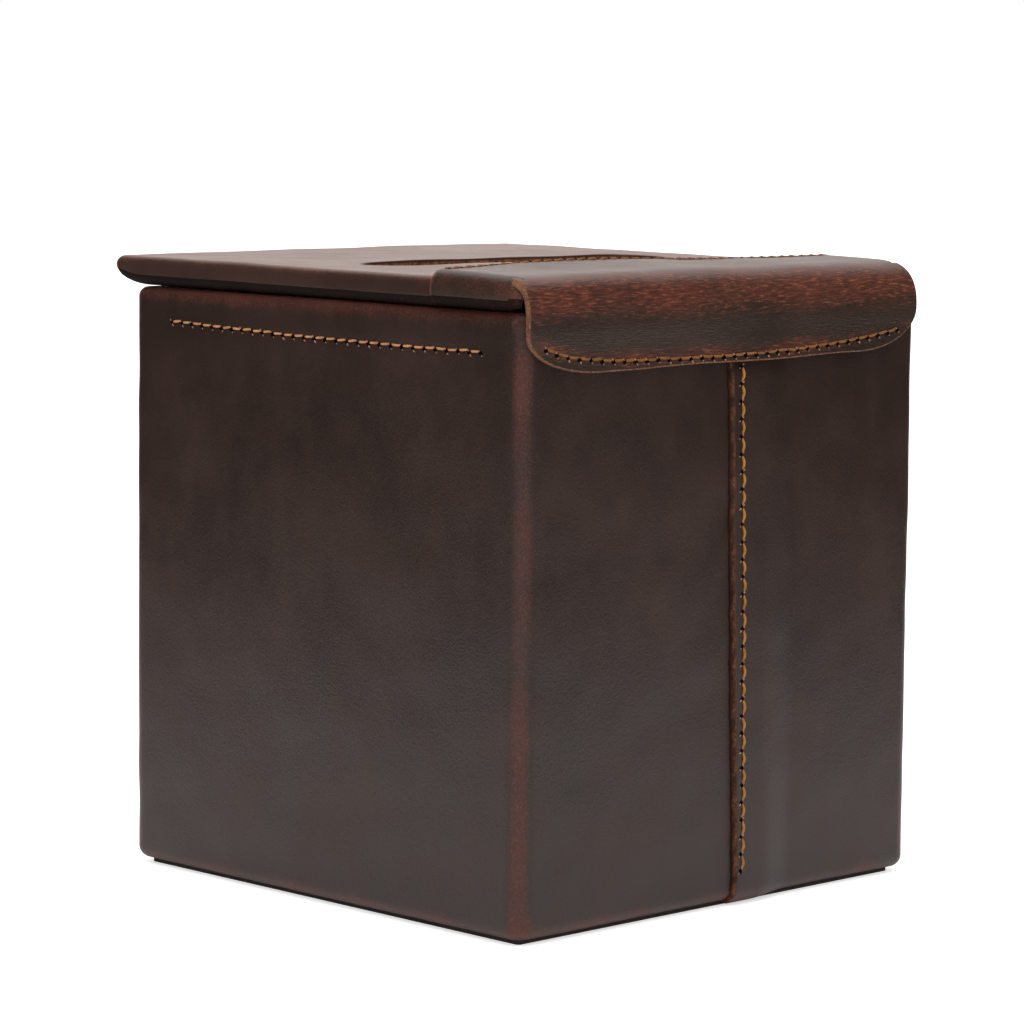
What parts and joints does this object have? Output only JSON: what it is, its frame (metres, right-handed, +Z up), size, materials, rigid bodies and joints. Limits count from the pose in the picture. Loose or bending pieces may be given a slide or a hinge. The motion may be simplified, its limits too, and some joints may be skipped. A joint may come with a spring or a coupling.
{
  "type": "tissue box",
  "caption": "Leather-covered cube tissue box with a slotted lid that opens on a sewn leather strap hinge at the rear.",
  "frame": {"origin": "middle of the box's footprint, on the surface it stands on", "axes": "+Z up; -Y towards the front, where the lid's lip overhangs; +Y towards the rear, where the strap hinge is; +X to the right seen from the front"},
  "size_m": [0.1326, 0.1399, 0.1467],
  "materials": {
    "leather": "waxed pull-up leather, dark brown",
    "base_leather": "plain dark leather",
    "board": "grey-brown millboard",
    "lid_core": "raw leather board",
    "lining": "suede",
    "thread": "waxed tan thread",
    "seam_thread": "waxed ochre thread"
  },
  "bodies": {
    "box": {"body_leather": "leather", "strap_flap": "leather", "base_panel": "base_leather", "front_board": "board", "rear_board": "board", "left_board": "board", "right_board": "board", "base_board": "board", "base_infill": "board", "wall_lining": "lining", "floor_lining": "lining", "stitches_right": "thread", "stitches_left": "thread", "stitches_front": "thread", "stitches_flap": "thread", "stitches_seam": "seam_thread"},
    "lid": {"lid_board": "lid_core", "lid_leather": "leather", "lid_lining": "lining", "strap_top": "leather", "strap_bend": "leather", "stitches_strap": "thread"}
  },
  "joints": [
    {"name": "lid_hinge", "type": "hinge", "parent": "box", "child": "lid", "pos_m": [0, 0.0669, 0.1374], "axis": [-1, 0, 0], "range_deg": [0, 130], "deforming": ["strap_bend"]}
  ]
}
